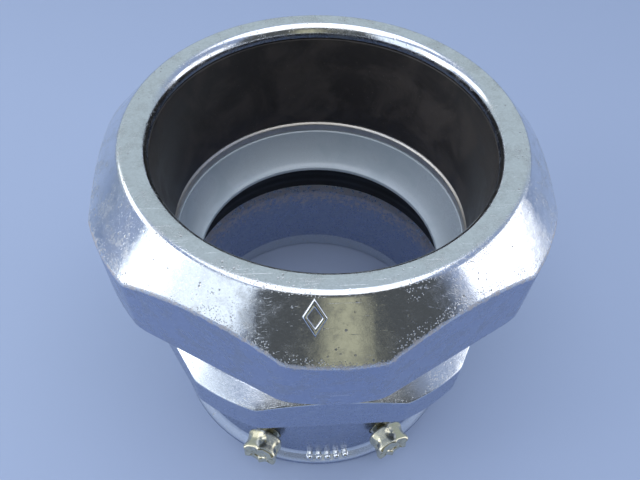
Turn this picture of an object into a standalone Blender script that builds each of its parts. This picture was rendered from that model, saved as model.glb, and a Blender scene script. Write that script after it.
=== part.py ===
"""Watertight conduit coupling: a hexagon cap nut over a rubber packing at the top,
and a plain socket with two break-off set screws at the bottom.

Metres, +Z up. The origin is on the axis, in the plane that the socket's lip stands on.
The two set screws and one flat of the body's hexagon face -Y.
"""

import math

import bmesh
import bpy
from mathutils import Matrix

MM = 0.001
COLLECTION = "conduit_coupling"
TURN_STEPS = 60
SMALL_STEPS = 20
SMOOTH_ANGLE = math.radians(32)
TOUCH_GAP = 0.3 * MM
CUT_MARGIN = 5.0 * MM

# Outside radius of the tube that both ends take. Bores and corner sizes below are radii.
TUBE_RADIUS = 27.9 * MM

# Socket end, for the plain tube
SOCKET_PLAY = 0.4 * MM
SOCKET_WALL = 2.7 * MM
SOCKET_DEPTH = 25.1 * MM
MOUTH_DEPTH = 6.1 * MM
MOUTH_FLARE = 1.6 * MM
LIP_PROUD = 1.6 * MM
LIP_BAND_TOP = 2.0 * MM
LIP_SLOPE = 2.2 * MM
LIP_CHAMFER = 0.8 * MM
LEDGE_BEVEL = 0.6 * MM
LEDGE_BEVEL_HEIGHT = 2.1 * MM

# Rubber ring at the bottom of the socket, and the shoulder around its groove
SEAL_THICKNESS = 1.4 * MM
SEAL_HEIGHT = 7.9 * MM
SEAL_PROUD = 0.2 * MM
SEAL_EASE = 0.4 * MM
SHOULDER_WALL = 2.6 * MM
SHOULDER_OVERLAP = 2.6 * MM
SHOULDER_TAPER = 2.0 * MM

# Bush in the throat and metal ring on top of it
RING_PLAY = 0.1 * MM
RING_HEIGHT = 1.9 * MM
RING_BEVEL = 0.4 * MM
BUSH_FUNNEL = 3.4 * MM
BUSH_HEIGHT = 9.4 * MM
BUSH_WALL = 1.1 * MM
BUSH_FLANGE = 1.0 * MM
BUSH_LIP_ROUND = 0.4 * MM
BUSH_CURVE_STEPS = 6

# Packing and the washer that presses on it
PACKING_FOOT_PLAY = 0.2 * MM
PACKING_TOP_PLAY = 1.1 * MM
PACKING_WALL = 2.2 * MM
PACKING_HEAD_WALL = 3.2 * MM
PACKING_HEAD_HEIGHT = 4.3 * MM
PACKING_NECK_WALL = 1.1 * MM
WASHER_HEIGHT = 1.0 * MM

# Body's hexagon and its spigot, which is plain at the thread's root
SPIGOT_WALL = 2.4 * MM
SPIGOT_LENGTH = 23.8 * MM
SPIGOT_CHAMFER = 0.6 * MM
SPIGOT_MOUTH_RISE = 3.5 * MM
SPIGOT_MOUTH_FLARE = 1.3 * MM
THREAD_DEPTH = 0.9 * MM
COLLAR_SHOULDER = 1.0 * MM
COLLAR_CORNER_RISE = 2.4 * MM
COLLAR_HEIGHT = 8.0 * MM
COLLAR_CHAMFER = 0.5 * MM
COLLAR_TOP_LAND = 0.9 * MM
COLLAR_TOP_RISE = 2.0 * MM
COLLAR_OVER_GROOVE = 3.1 * MM

# Cap nut
NUT_WALL = 3.65 * MM
NUT_CORNER_RISE = 2.35 * MM
NUT_HEIGHT = 19.9 * MM
NUT_LIP = 2.5 * MM
NUT_TOP_LAND = 2.3 * MM
NUT_CHAMFER_DROP = 7.66 * MM
NUT_FOOT_CHAMFER = 0.8 * MM
NUT_RIM_WIDTH = 1.9 * MM
NUT_RIM_DROP = 2.2 * MM
NUT_RIM_STEPS = 4
NUT_RELIEF_DEPTH = 3.7 * MM
NUT_RELIEF_SLOPE = 1.2 * MM
NUT_SIDE_PLAY = 0.4 * MM
NUT_TURN = math.radians(-1.3)

# Set screws
SCREW_HEIGHT = 11.0 * MM
SCREW_ANGLE = math.radians(22.5)
SCREW_RADIUS = 2.5 * MM
SCREW_TIP_INSET = 0.3 * MM
SCREW_TIP_CHAMFER = 0.5 * MM
NECK_RADIUS = 1.7 * MM
NECK_ENTRY = 0.8 * MM
HEAD_APOTHEM = 3.5 * MM
HEAD_LENGTH = 4.5 * MM
HEAD_STANDOFF = 1.1 * MM
HEAD_CHAMFER = 0.5 * MM
HEAD_DISH_RIM = 1.2 * MM
HEAD_DISH_DEPTH = 0.8 * MM

# Radii that follow from the sizes above, from the tube outwards
socket_bore = TUBE_RADIUS + SOCKET_PLAY
socket_outer = socket_bore + SOCKET_WALL
lip_outer = socket_outer + LIP_PROUD
seal_bore = socket_bore - SEAL_PROUD
seal_outer = seal_bore + SEAL_THICKNESS
groove_bore = seal_outer + TOUCH_GAP
shoulder_outer = groove_bore + SHOULDER_WALL
ring_bore = TUBE_RADIUS + RING_PLAY
bush_mouth = ring_bore
throat_bore = bush_mouth - BUSH_FUNNEL
web_bore = throat_bore + BUSH_WALL + TOUCH_GAP
packing_foot_bore = TUBE_RADIUS + PACKING_FOOT_PLAY
packing_top_bore = TUBE_RADIUS + PACKING_TOP_PLAY
packing_outer = packing_foot_bore + PACKING_WALL
packing_head_outer = packing_top_bore + PACKING_HEAD_WALL
packing_neck_outer = packing_top_bore + PACKING_NECK_WALL
spigot_bore = packing_outer + TOUCH_GAP
spigot_outer = spigot_bore + SPIGOT_WALL
thread_major = spigot_outer + THREAD_DEPTH
collar_apothem = thread_major + COLLAR_SHOULDER
collar_corner = collar_apothem + COLLAR_CORNER_RISE
nut_bore = thread_major + TOUCH_GAP
nut_apothem = nut_bore + NUT_WALL
nut_corner = nut_apothem + NUT_CORNER_RISE
nut_top_edge = packing_top_bore + NUT_RIM_WIDTH + NUT_TOP_LAND
nut_cavity = packing_head_outer + NUT_SIDE_PLAY
screw_tip = socket_bore + SCREW_TIP_INSET
screw_hole = SCREW_RADIUS + TOUCH_GAP
head_seat = socket_outer + HEAD_STANDOFF

# Heights that follow, from the socket's lip upwards
seal_bottom = SOCKET_DEPTH + TOUCH_GAP
seal_top = seal_bottom + SEAL_HEIGHT
groove_top = seal_top + TOUCH_GAP
shoulder_bottom = SOCKET_DEPTH - SHOULDER_OVERLAP
bush_bottom = groove_top + 2 * TOUCH_GAP
bush_top = bush_bottom + BUSH_HEIGHT
ring_bottom = bush_top + TOUCH_GAP
ring_top = ring_bottom + RING_HEIGHT
packing_bottom = ring_top + TOUCH_GAP
collar_top = groove_top + COLLAR_OVER_GROOVE
collar_bottom = collar_top - COLLAR_HEIGHT
collar_crest = collar_top + COLLAR_TOP_RISE
spigot_top = collar_top + SPIGOT_LENGTH
packing_head_bottom = spigot_top + TOUCH_GAP
packing_head_top = packing_head_bottom + PACKING_HEAD_HEIGHT
washer_bottom = packing_head_top + TOUCH_GAP
washer_top = washer_bottom + WASHER_HEIGHT
nut_lip_underside = washer_top + TOUCH_GAP
nut_top = nut_lip_underside + NUT_LIP
nut_bottom = nut_top - NUT_HEIGHT

ZINC = ((0.70, 0.72, 0.74), 1.0, 0.28)
YELLOW_ZINC = ((0.74, 0.68, 0.52), 1.0, 0.30)
BLACK_RUBBER = ((0.022, 0.020, 0.020), 0.0, 0.55)
PALE_NYLON = ((0.62, 0.66, 0.70), 0.0, 0.35)


def clear_scene():
    for obj in list(bpy.data.objects):
        bpy.data.objects.remove(obj, do_unlink=True)


def make_collection(name):
    collection = bpy.data.collections.new(name)
    bpy.context.scene.collection.children.link(collection)
    return collection


def make_material(name, finish):
    color, metallic, roughness = finish
    material = bpy.data.materials.new(name)
    material.use_nodes = True
    shader = material.node_tree.nodes["Principled BSDF"]
    shader.inputs["Base Color"].default_value = (*color, 1.0)
    shader.inputs["Metallic"].default_value = metallic
    shader.inputs["Roughness"].default_value = roughness
    return material


def add_object(name, mesh, collection):
    obj = bpy.data.objects.new(name, mesh)
    collection.objects.link(obj)
    return obj


def turned(name, outline, collection, finish, closed=True, steps=TURN_STEPS, base=0.0):
    """Turn an outline of (radius, height) about Z. It runs down the outer side first."""
    mesh = bpy.data.meshes.new(name)
    points = [(radius, 0.0, height - base) for radius, height in outline]
    edges = [(i, i + 1) for i in range(len(points) - 1)]
    if closed:
        edges.append((len(points) - 1, 0))
    mesh.from_pydata(points, edges, [])
    obj = add_object(name, mesh, collection)
    obj.location.z = base
    screw = obj.modifiers.new("turn", "SCREW")
    screw.axis = "Z"
    screw.angle = 2 * math.pi
    screw.steps = steps
    screw.render_steps = steps
    screw.use_merge_vertices = True
    screw.merge_threshold = 0.00001
    mesh.materials.append(make_material(name, finish))
    return obj


def arc(center, radii, first, last, steps):
    """Points of an ellipse's arc from one angle to another, in degrees."""
    points = []
    for i in range(steps + 1):
        angle = math.radians(first + (last - first) * i / steps)
        points.append((center[0] + radii[0] * math.cos(angle),
                       center[1] + radii[1] * math.sin(angle)))
    return points


def make_cutter(name, mesh, collection):
    cutter = add_object(name, mesh, collection)
    cutter.hide_render = True
    cutter.display_type = "WIRE"
    return cutter


def cut(obj, cutter):
    modifier = obj.modifiers.new(cutter.name, "BOOLEAN")
    modifier.operation = "DIFFERENCE"
    modifier.solver = "EXACT"
    modifier.object = cutter


def smooth(obj):
    """Bake the modifiers, then shade round surfaces smooth and keep the real edges sharp."""
    evaluated = obj.evaluated_get(bpy.context.evaluated_depsgraph_get())
    mesh = bpy.data.meshes.new_from_object(evaluated)
    mesh.name = obj.name
    obj.modifiers.clear()
    obj.data = mesh
    mesh.shade_smooth()
    mesh.set_sharp_from_angle(angle=SMOOTH_ANGLE)


def hexagon_cutter(name, apothem, corner, low, high, collection, facing_flat):
    """Six blocks that leave a hexagon. Its first flat or its first corner faces -Y."""
    mesh = bpy.data.meshes.new(name)
    bm = bmesh.new()
    flat_width = 2 * math.sqrt(corner ** 2 - apothem ** 2)
    width = flat_width + CUT_MARGIN / 2
    depth = (corner - apothem) * 2
    first = -math.pi / 2 if facing_flat else -math.pi / 3
    for i in range(6):
        angle = first + i * math.pi / 3
        block = bmesh.ops.create_cube(bm, size=1.0)["verts"]
        bmesh.ops.scale(bm, vec=(depth, width, high - low), verts=block)
        bmesh.ops.translate(bm, vec=(apothem + depth / 2, 0, (low + high) / 2), verts=block)
        rotate_about_z(block, angle)
    bm.to_mesh(mesh)
    bm.free()
    return make_cutter(name, mesh, collection)


def rotate_about_z(verts, angle):
    turn = Matrix.Rotation(angle, 3, "Z")
    for vert in verts:
        vert.co = turn @ vert.co


def screw_hole_cutter(name, side, collection):
    mesh = bpy.data.meshes.new(name)
    bm = bmesh.new()
    length = SOCKET_WALL + 2 * CUT_MARGIN
    hole = bmesh.ops.create_cone(bm, cap_ends=True, segments=SMALL_STEPS, radius1=screw_hole,
                                 radius2=screw_hole, depth=length)["verts"]
    bmesh.ops.rotate(bm, verts=hole, matrix=Matrix.Rotation(math.pi / 2, 3, "Y"))
    bmesh.ops.translate(bm, verts=hole, vec=((socket_bore + socket_outer) / 2, 0, 0))
    rotate_about_z(hole, side * SCREW_ANGLE - math.pi / 2)
    bmesh.ops.translate(bm, vec=(0, 0, SCREW_HEIGHT), verts=hole)
    bm.to_mesh(mesh)
    bm.free()
    return make_cutter(name, mesh, collection)


def bush_curve(offset, first, last):
    """The bush's bowl, grown by an offset: upright at its mouth, flat at the throat."""
    radii = (bush_mouth - throat_bore + offset, BUSH_HEIGHT - BUSH_WALL + offset)
    return arc((throat_bore, bush_top), radii, first, last, BUSH_CURVE_STEPS)


def build_body(parts, cutters):
    seat_height = bush_top - BUSH_FLANGE - TOUCH_GAP
    seat_offset = BUSH_WALL + TOUCH_GAP
    seat_width = bush_mouth - throat_bore + seat_offset
    seat_depth = BUSH_HEIGHT - BUSH_WALL + seat_offset
    seat_start = -math.degrees(math.asin((bush_top - seat_height) / seat_depth))
    seat_end = -math.degrees(math.acos((web_bore - throat_bore) / seat_width))
    outline = [
        (spigot_outer - SPIGOT_CHAMFER, spigot_top),
        (spigot_outer, spigot_top - SPIGOT_CHAMFER),
        (spigot_outer, collar_crest),
        (spigot_outer + COLLAR_TOP_LAND, collar_crest),
        (collar_corner, collar_top),
        (collar_corner, collar_bottom + COLLAR_CHAMFER),
        (collar_corner - COLLAR_CHAMFER, collar_bottom),
        (shoulder_outer, collar_bottom),
        (shoulder_outer, shoulder_bottom + SHOULDER_TAPER),
        (socket_outer, shoulder_bottom),
        (socket_outer, LIP_BAND_TOP + LIP_SLOPE),
        (lip_outer, LIP_BAND_TOP),
        (lip_outer, LIP_CHAMFER),
        (lip_outer - LIP_CHAMFER, 0.0),
        (socket_bore + MOUTH_FLARE, 0.0),
        (socket_bore, MOUTH_DEPTH),
        (socket_bore, SOCKET_DEPTH - LEDGE_BEVEL_HEIGHT),
        (socket_bore + LEDGE_BEVEL, SOCKET_DEPTH),
        (groove_bore, SOCKET_DEPTH),
        (groove_bore, groove_top),
        (web_bore, groove_top),
    ]
    outline += reversed(bush_curve(seat_offset, seat_start, seat_end))
    outline += [
        (spigot_bore, seat_height),
        (spigot_bore, spigot_top - SPIGOT_MOUTH_RISE),
        (spigot_bore + SPIGOT_MOUTH_FLARE, spigot_top),
    ]
    body = turned("coupling_body", outline, parts, ZINC)
    cut(body, hexagon_cutter("collar_flats", collar_apothem, collar_corner,
                             collar_bottom - COLLAR_CHAMFER, collar_crest + COLLAR_CHAMFER,
                             cutters, facing_flat=True))
    for side, label in ((-1, "left"), (1, "right")):
        cut(body, screw_hole_cutter(label + "_screw_hole", side, cutters))
    return body


def build_seal(parts):
    outline = [
        (seal_outer, seal_top),
        (seal_outer, seal_bottom),
        (seal_bore + SEAL_EASE, seal_bottom),
        (seal_bore, seal_bottom + SEAL_EASE),
        (seal_bore, seal_top - SEAL_EASE),
        (seal_bore + SEAL_EASE, seal_top),
    ]
    return turned("socket_seal", outline, parts, BLACK_RUBBER)


def build_bush(parts):
    flange_outer = spigot_bore - TOUCH_GAP
    flange_bottom = bush_top - BUSH_FLANGE
    outer_start = -math.degrees(math.asin(BUSH_FLANGE / BUSH_HEIGHT))
    lip_crest = bush_bottom + BUSH_WALL
    outline = [(flange_outer, bush_top), (flange_outer, flange_bottom)]
    outline += bush_curve(BUSH_WALL, outer_start, -75)
    outline += [
        (throat_bore + BUSH_LIP_ROUND, bush_bottom),
        (throat_bore, bush_bottom + BUSH_LIP_ROUND),
        (throat_bore, lip_crest - BUSH_LIP_ROUND),
    ]
    outline += reversed(bush_curve(0.0, 0, -80))
    return turned("throat_bush", outline, parts, PALE_NYLON)


def build_ring(parts):
    outer = spigot_bore - TOUCH_GAP
    outline = [
        (outer, ring_top),
        (outer, ring_bottom),
        (ring_bore, ring_bottom),
        (ring_bore, ring_top - RING_BEVEL),
        (ring_bore + RING_BEVEL, ring_top),
    ]
    return turned("seat_ring", outline, parts, ZINC)


def build_packing(parts):
    mouth_outer = packing_outer + SPIGOT_MOUTH_FLARE
    outline = [
        (packing_neck_outer, washer_top),
        (packing_neck_outer, packing_head_top),
        (packing_head_outer, packing_head_top),
        (packing_head_outer, packing_head_bottom),
        (mouth_outer, packing_head_bottom),
        (packing_outer, spigot_top - SPIGOT_MOUTH_RISE),
        (packing_outer, packing_bottom),
        (packing_foot_bore, packing_bottom),
        (packing_top_bore, packing_head_bottom),
        (packing_top_bore, washer_top),
    ]
    return turned("packing", outline, parts, BLACK_RUBBER)


def build_washer(parts):
    inner = packing_neck_outer + TOUCH_GAP
    outline = [
        (packing_head_outer, washer_top),
        (packing_head_outer, washer_bottom),
        (inner, washer_bottom),
        (inner, washer_top),
    ]
    return turned("thrust_washer", outline, parts, ZINC, base=washer_bottom)


def build_nut(parts, cutters):
    relief_top = nut_lip_underside - NUT_RELIEF_DEPTH + NUT_RELIEF_SLOPE
    rim_center = (packing_top_bore + NUT_RIM_WIDTH, nut_top - NUT_RIM_DROP)
    outline = [
        (nut_top_edge, nut_top),
        (nut_corner, nut_top - NUT_CHAMFER_DROP),
        (nut_corner, nut_bottom + NUT_FOOT_CHAMFER),
        (nut_corner - NUT_FOOT_CHAMFER, nut_bottom),
        (nut_bore + NUT_FOOT_CHAMFER, nut_bottom),
        (nut_bore, nut_bottom + NUT_FOOT_CHAMFER),
        (nut_bore, nut_lip_underside - NUT_RELIEF_DEPTH),
        (nut_cavity, relief_top),
        (nut_cavity, nut_lip_underside),
        (packing_top_bore, nut_lip_underside),
    ]
    outline += arc(rim_center, (NUT_RIM_WIDTH, NUT_RIM_DROP), 180, 90, NUT_RIM_STEPS)
    nut = turned("cap_nut", outline, parts, ZINC, base=nut_bottom)
    nut.rotation_euler.z = NUT_TURN
    flats = hexagon_cutter("nut_flats", nut_apothem, nut_corner, -CUT_MARGIN,
                           NUT_HEIGHT + CUT_MARGIN, cutters, facing_flat=False)
    flats.location.z = nut_bottom
    flats.rotation_euler.z = NUT_TURN
    cut(nut, flats)
    return nut


def build_screw(label, side, parts, cutters):
    """A shank in the body's wall and the head that shears off it, on one empty."""
    axis = add_object(label + "_screw_axis", None, parts)
    axis.location.z = SCREW_HEIGHT
    axis.rotation_euler = (math.pi / 2, 0, side * SCREW_ANGLE)

    neck_end = head_seat + NECK_ENTRY
    neck_start = head_seat - TOUCH_GAP
    shank_outline = [
        (0.0, neck_end),
        (NECK_RADIUS, neck_end),
        (NECK_RADIUS, neck_start),
        (SCREW_RADIUS, neck_start - (SCREW_RADIUS - NECK_RADIUS)),
        (SCREW_RADIUS, screw_tip + SCREW_TIP_CHAMFER),
        (SCREW_RADIUS - SCREW_TIP_CHAMFER, screw_tip),
        (0.0, screw_tip),
    ]
    shank = turned(label + "_screw_shank", shank_outline, parts, YELLOW_ZINC, closed=False,
                   steps=SMALL_STEPS)
    shank.parent = axis

    corner = HEAD_APOTHEM / math.cos(math.pi / 6)
    head_top = head_seat + HEAD_LENGTH
    socket = NECK_RADIUS + TOUCH_GAP
    head_outline = [
        (0.0, head_top),
        (corner - 2 * HEAD_CHAMFER, head_top),
        (corner, head_top - HEAD_CHAMFER),
        (corner, head_seat),
        (0.0, head_seat),
    ]
    head = turned(label + "_screw_head", head_outline, parts, YELLOW_ZINC, closed=False, steps=6)
    head.parent = axis
    dish = HEAD_APOTHEM - HEAD_DISH_RIM
    dish_outline = [
        (0.0, head_top + CUT_MARGIN),
        (dish, head_top + CUT_MARGIN),
        (dish, head_top),
        (dish - HEAD_DISH_DEPTH, head_top - HEAD_DISH_DEPTH),
        (0.0, head_top - HEAD_DISH_DEPTH),
    ]
    neck_socket_outline = [
        (0.0, neck_end + TOUCH_GAP),
        (socket, neck_end + TOUCH_GAP),
        (socket, head_seat - CUT_MARGIN),
        (0.0, head_seat - CUT_MARGIN),
    ]
    for suffix, outline in (("_dish", dish_outline), ("_neck_socket", neck_socket_outline)):
        cutter = turned(label + suffix, outline, cutters, YELLOW_ZINC, closed=False,
                        steps=SMALL_STEPS)
        cutter.hide_render = True
        cutter.display_type = "WIRE"
        cutter.parent = axis
        cut(head, cutter)
    return shank, head


def main():
    clear_scene()
    parts = make_collection(COLLECTION)
    cutters = make_collection("cutters")
    build_body(parts, cutters)
    build_seal(parts)
    build_bush(parts)
    build_ring(parts)
    build_packing(parts)
    build_washer(parts)
    build_nut(parts, cutters)
    for side, label in ((-1, "left"), (1, "right")):
        build_screw(label, side, parts, cutters)
    bpy.context.view_layer.update()
    for obj in parts.objects:
        if obj.type == "MESH":
            smooth(obj)


main()
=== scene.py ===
import math

import bmesh
import bpy
from mathutils import Matrix, Vector


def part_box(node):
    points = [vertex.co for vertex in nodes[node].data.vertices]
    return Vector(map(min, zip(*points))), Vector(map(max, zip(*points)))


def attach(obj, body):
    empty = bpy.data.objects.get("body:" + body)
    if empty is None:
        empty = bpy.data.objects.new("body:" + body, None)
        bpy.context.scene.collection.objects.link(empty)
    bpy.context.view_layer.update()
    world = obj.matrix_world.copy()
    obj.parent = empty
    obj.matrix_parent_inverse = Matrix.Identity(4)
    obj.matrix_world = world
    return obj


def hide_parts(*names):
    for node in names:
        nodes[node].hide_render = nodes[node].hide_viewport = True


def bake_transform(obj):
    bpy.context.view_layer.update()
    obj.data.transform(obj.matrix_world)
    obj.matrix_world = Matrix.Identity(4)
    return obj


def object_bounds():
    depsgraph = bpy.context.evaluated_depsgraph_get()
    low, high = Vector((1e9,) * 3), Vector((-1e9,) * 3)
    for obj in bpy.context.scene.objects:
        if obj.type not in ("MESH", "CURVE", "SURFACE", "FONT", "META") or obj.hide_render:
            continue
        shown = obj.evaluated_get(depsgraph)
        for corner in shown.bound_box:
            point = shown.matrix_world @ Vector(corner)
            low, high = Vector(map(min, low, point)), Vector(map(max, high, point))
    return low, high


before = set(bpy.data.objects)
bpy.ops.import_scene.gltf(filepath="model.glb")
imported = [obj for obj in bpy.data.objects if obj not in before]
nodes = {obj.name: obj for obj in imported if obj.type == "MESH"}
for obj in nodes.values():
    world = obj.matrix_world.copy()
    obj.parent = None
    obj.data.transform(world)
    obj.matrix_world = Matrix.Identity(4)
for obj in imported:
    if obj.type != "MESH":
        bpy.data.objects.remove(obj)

mm = 0.001
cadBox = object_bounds()
print("conduit coupling: frame loaded,", len(nodes), "nodes")


# Node helpers

def addNode(tree, kind, values=None, **settings):
    node = tree.nodes.new(kind)
    for key, value in settings.items():
        setattr(node, key, value)
    for key, value in (values or {}).items():
        if isinstance(value, bpy.types.NodeSocket):
            tree.links.new(value, node.inputs[key])
        else:
            node.inputs[key].default_value = value
    return node


def calc(tree, operation, first, second=0.0, third=0.0):
    node = addNode(tree, "ShaderNodeMath", {0: first, 1: second, 2: third}, operation=operation)
    return node.outputs[0]


def blendColors(tree, factor, first, second, mode="MIX"):
    node = addNode(tree, "ShaderNodeMix", {0: factor, 6: first, 7: second}, data_type="RGBA",
                   blend_type=mode)
    return node.outputs[2]


def span(tree, value, low, high, toLow=0.0, toHigh=1.0):
    node = addNode(tree, "ShaderNodeMapRange", {0: value, 1: low, 2: high, 3: toLow, 4: toHigh},
                   interpolation_type="SMOOTHSTEP")
    return node.outputs[0]


def noise(tree, vector, scale, detail=4.0, roughness=0.55, distortion=0.0):
    node = addNode(tree, "ShaderNodeTexNoise",
                   {"Vector": vector, "Scale": scale, "Detail": detail, "Roughness": roughness,
                    "Distortion": distortion})
    return node.outputs[0]


def cells(tree, vector, scale):
    return addNode(tree, "ShaderNodeTexVoronoi", {"Vector": vector, "Scale": scale}).outputs


def stretched(tree, vector, turn, scale):
    node = addNode(tree, "ShaderNodeMapping", {"Vector": vector, "Rotation": turn, "Scale": scale})
    return node.outputs[0]


def newGroup(name, inputs, outputs):
    group = bpy.data.node_groups.new(name, "ShaderNodeTree")
    for label, kind, value in inputs:
        socket = group.interface.new_socket(name=label, in_out="INPUT", socket_type=kind)
        if value is not None:
            socket.default_value = value
    for label, kind in outputs:
        group.interface.new_socket(name=label, in_out="OUTPUT", socket_type=kind)
    start = group.nodes.new("NodeGroupInput")
    end = group.nodes.new("NodeGroupOutput")
    return group, start.outputs, end.inputs


def placeGroup(tree, group, values):
    node = addNode(tree, "ShaderNodeGroup", node_tree=group)
    for key, value in values.items():
        if isinstance(value, bpy.types.NodeSocket):
            tree.links.new(value, node.inputs[key])
        else:
            node.inputs[key].default_value = value
    return node.outputs


colorKind, floatKind, vectorKind = "NodeSocketColor", "NodeSocketFloat", "NodeSocketVector"


# How the plating's marks are spread (scales per mm) and how strongly each one shows.
platingLook = {
    "cloudScale": 0.3, "cloudSpan": (0.42, 0.68), "cloudTint": 0.6,
    "grainScale": 2.6, "grainRough": 0.12, "grainHeight": 0.004,
    "frostScale": 0.9, "frostSpan": (0.5, 0.7), "frostTint": 0.12, "frostRough": 0.05,
    "frostColor": (0.93, 0.95, 0.97, 1),
    "crystalScale": 4.2, "crystalShade": (0.95, 1.02), "crystalRough": 0.03,
    "crystalHeight": 0.0008,
    "pitScale": 1.15, "pitSpan": (0.26, 0.1), "pitFieldScale": 0.35, "pitFieldSpan": (0.52, 0.64),
    "dotScale": 3.2, "dotSpan": (0.34, 0.16), "gritScale": 0.2, "gritSpan": (0.56, 0.68),
    "edgeGrit": 0.34, "uprightPits": 0.2, "pitTint": 0.75, "pitRough": 0.3, "pitHeight": -0.03,
    "pitColor": (0.16, 0.15, 0.14, 1),
    "firstTurn": (0.3, 0.5, 0.9), "firstStretch": (0.09, 7.0, 2.0), "firstSpan": (0.66, 0.74),
    "otherTurn": (1.1, -0.4, 2.3), "otherStretch": (0.06, 6.0, 3.0), "otherSpan": (0.67, 0.75),
    "lineTint": 0.4, "lineHeight": -0.01, "lineColor": (0.95, 0.95, 0.94, 1),
    "turningScale": 7.0, "turningRough": 0.25, "turningHeight": 0.012,
    # The rub values spread the worn colour, which also paints glints on the screw heads.
    "rubScale": 0.9, "rubBreakup": 1.9, "rubSpan": (0.78, 1.1), "rubEdgeSpan": (0.1, 0.6),
    "rubRough": 0.26, "rubHeight": -0.012,
    "rippleScale": 0.2, "uprightRough": 0.08, "leastRough": 0.05,
}
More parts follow.
